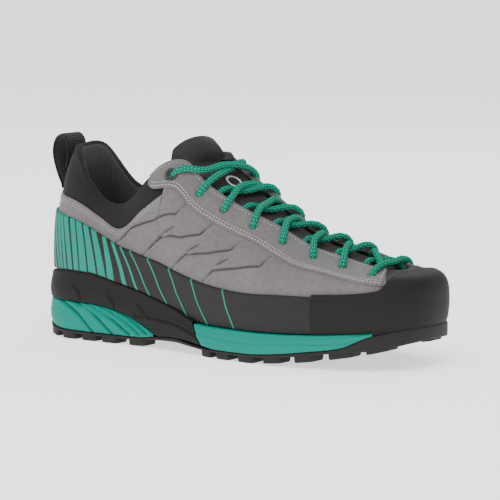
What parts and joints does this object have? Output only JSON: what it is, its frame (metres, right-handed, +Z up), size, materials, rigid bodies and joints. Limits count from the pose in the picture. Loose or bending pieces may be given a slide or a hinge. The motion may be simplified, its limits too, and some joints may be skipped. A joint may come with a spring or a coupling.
{
  "type": "approach shoe",
  "caption": "Low laced outdoor shoe for the right foot: suede upper, rubber band and toe cap, padded collar and tongue, pull loop, foam midsole and lugged outsole.",
  "frame": {"origin": "middle of the bounding box's footprint, on the floor that the shoe stands on", "axes": "+X from heel to toe, +Y to the inner side of the foot, +Z up"},
  "size_m": [0.272, 0.0994, 0.1249],
  "materials": {
    "outsole_rubber": "matt moulded rubber",
    "midsole_foam": "moulded green foam",
    "cradle": "moulded black foam",
    "suede": "grey suede",
    "rand_rubber": "textured rubber film",
    "cap_rubber": "smooth rubber",
    "eyestay_suede": "grey suede",
    "collar_cloth": "stretch cloth",
    "tongue_cloth": "padded cloth",
    "tongue_cover": "stiff cloth",
    "insole_cloth": "cloth",
    "webbing": "ribbed webbing",
    "eyelet": "matt",
    "lace": "braided cord"
  },
  "bodies": {
    "root": {"outsole": "outsole_rubber", "heel_midsole": "midsole_foam", "forefoot_midsole": "midsole_foam", "midsole_frame": "cradle", "upper": "suede", "side_rand": "rand_rubber", "toe_rand": "cap_rubber", "eyestay_outer": "eyestay_suede", "eyestay_inner": "eyestay_suede", "cuff": "collar_cloth", "tongue": "tongue_cloth", "tongue_cover": "tongue_cover", "insole": "insole_cloth", "heel_loop": "webbing", "eyelet_ring_outer": "eyelet", "eyelet_ring_inner": "eyelet", "lace_bar": "lace", "lace_cross_1": "lace", "lace_cross_2": "lace", "lace_cross_3": "lace", "lace_cross_4": "lace", "lace_cross_5": "lace", "lace_cross_6": "lace", "lace_cross_7": "lace"}
  },
  "joints": []
}
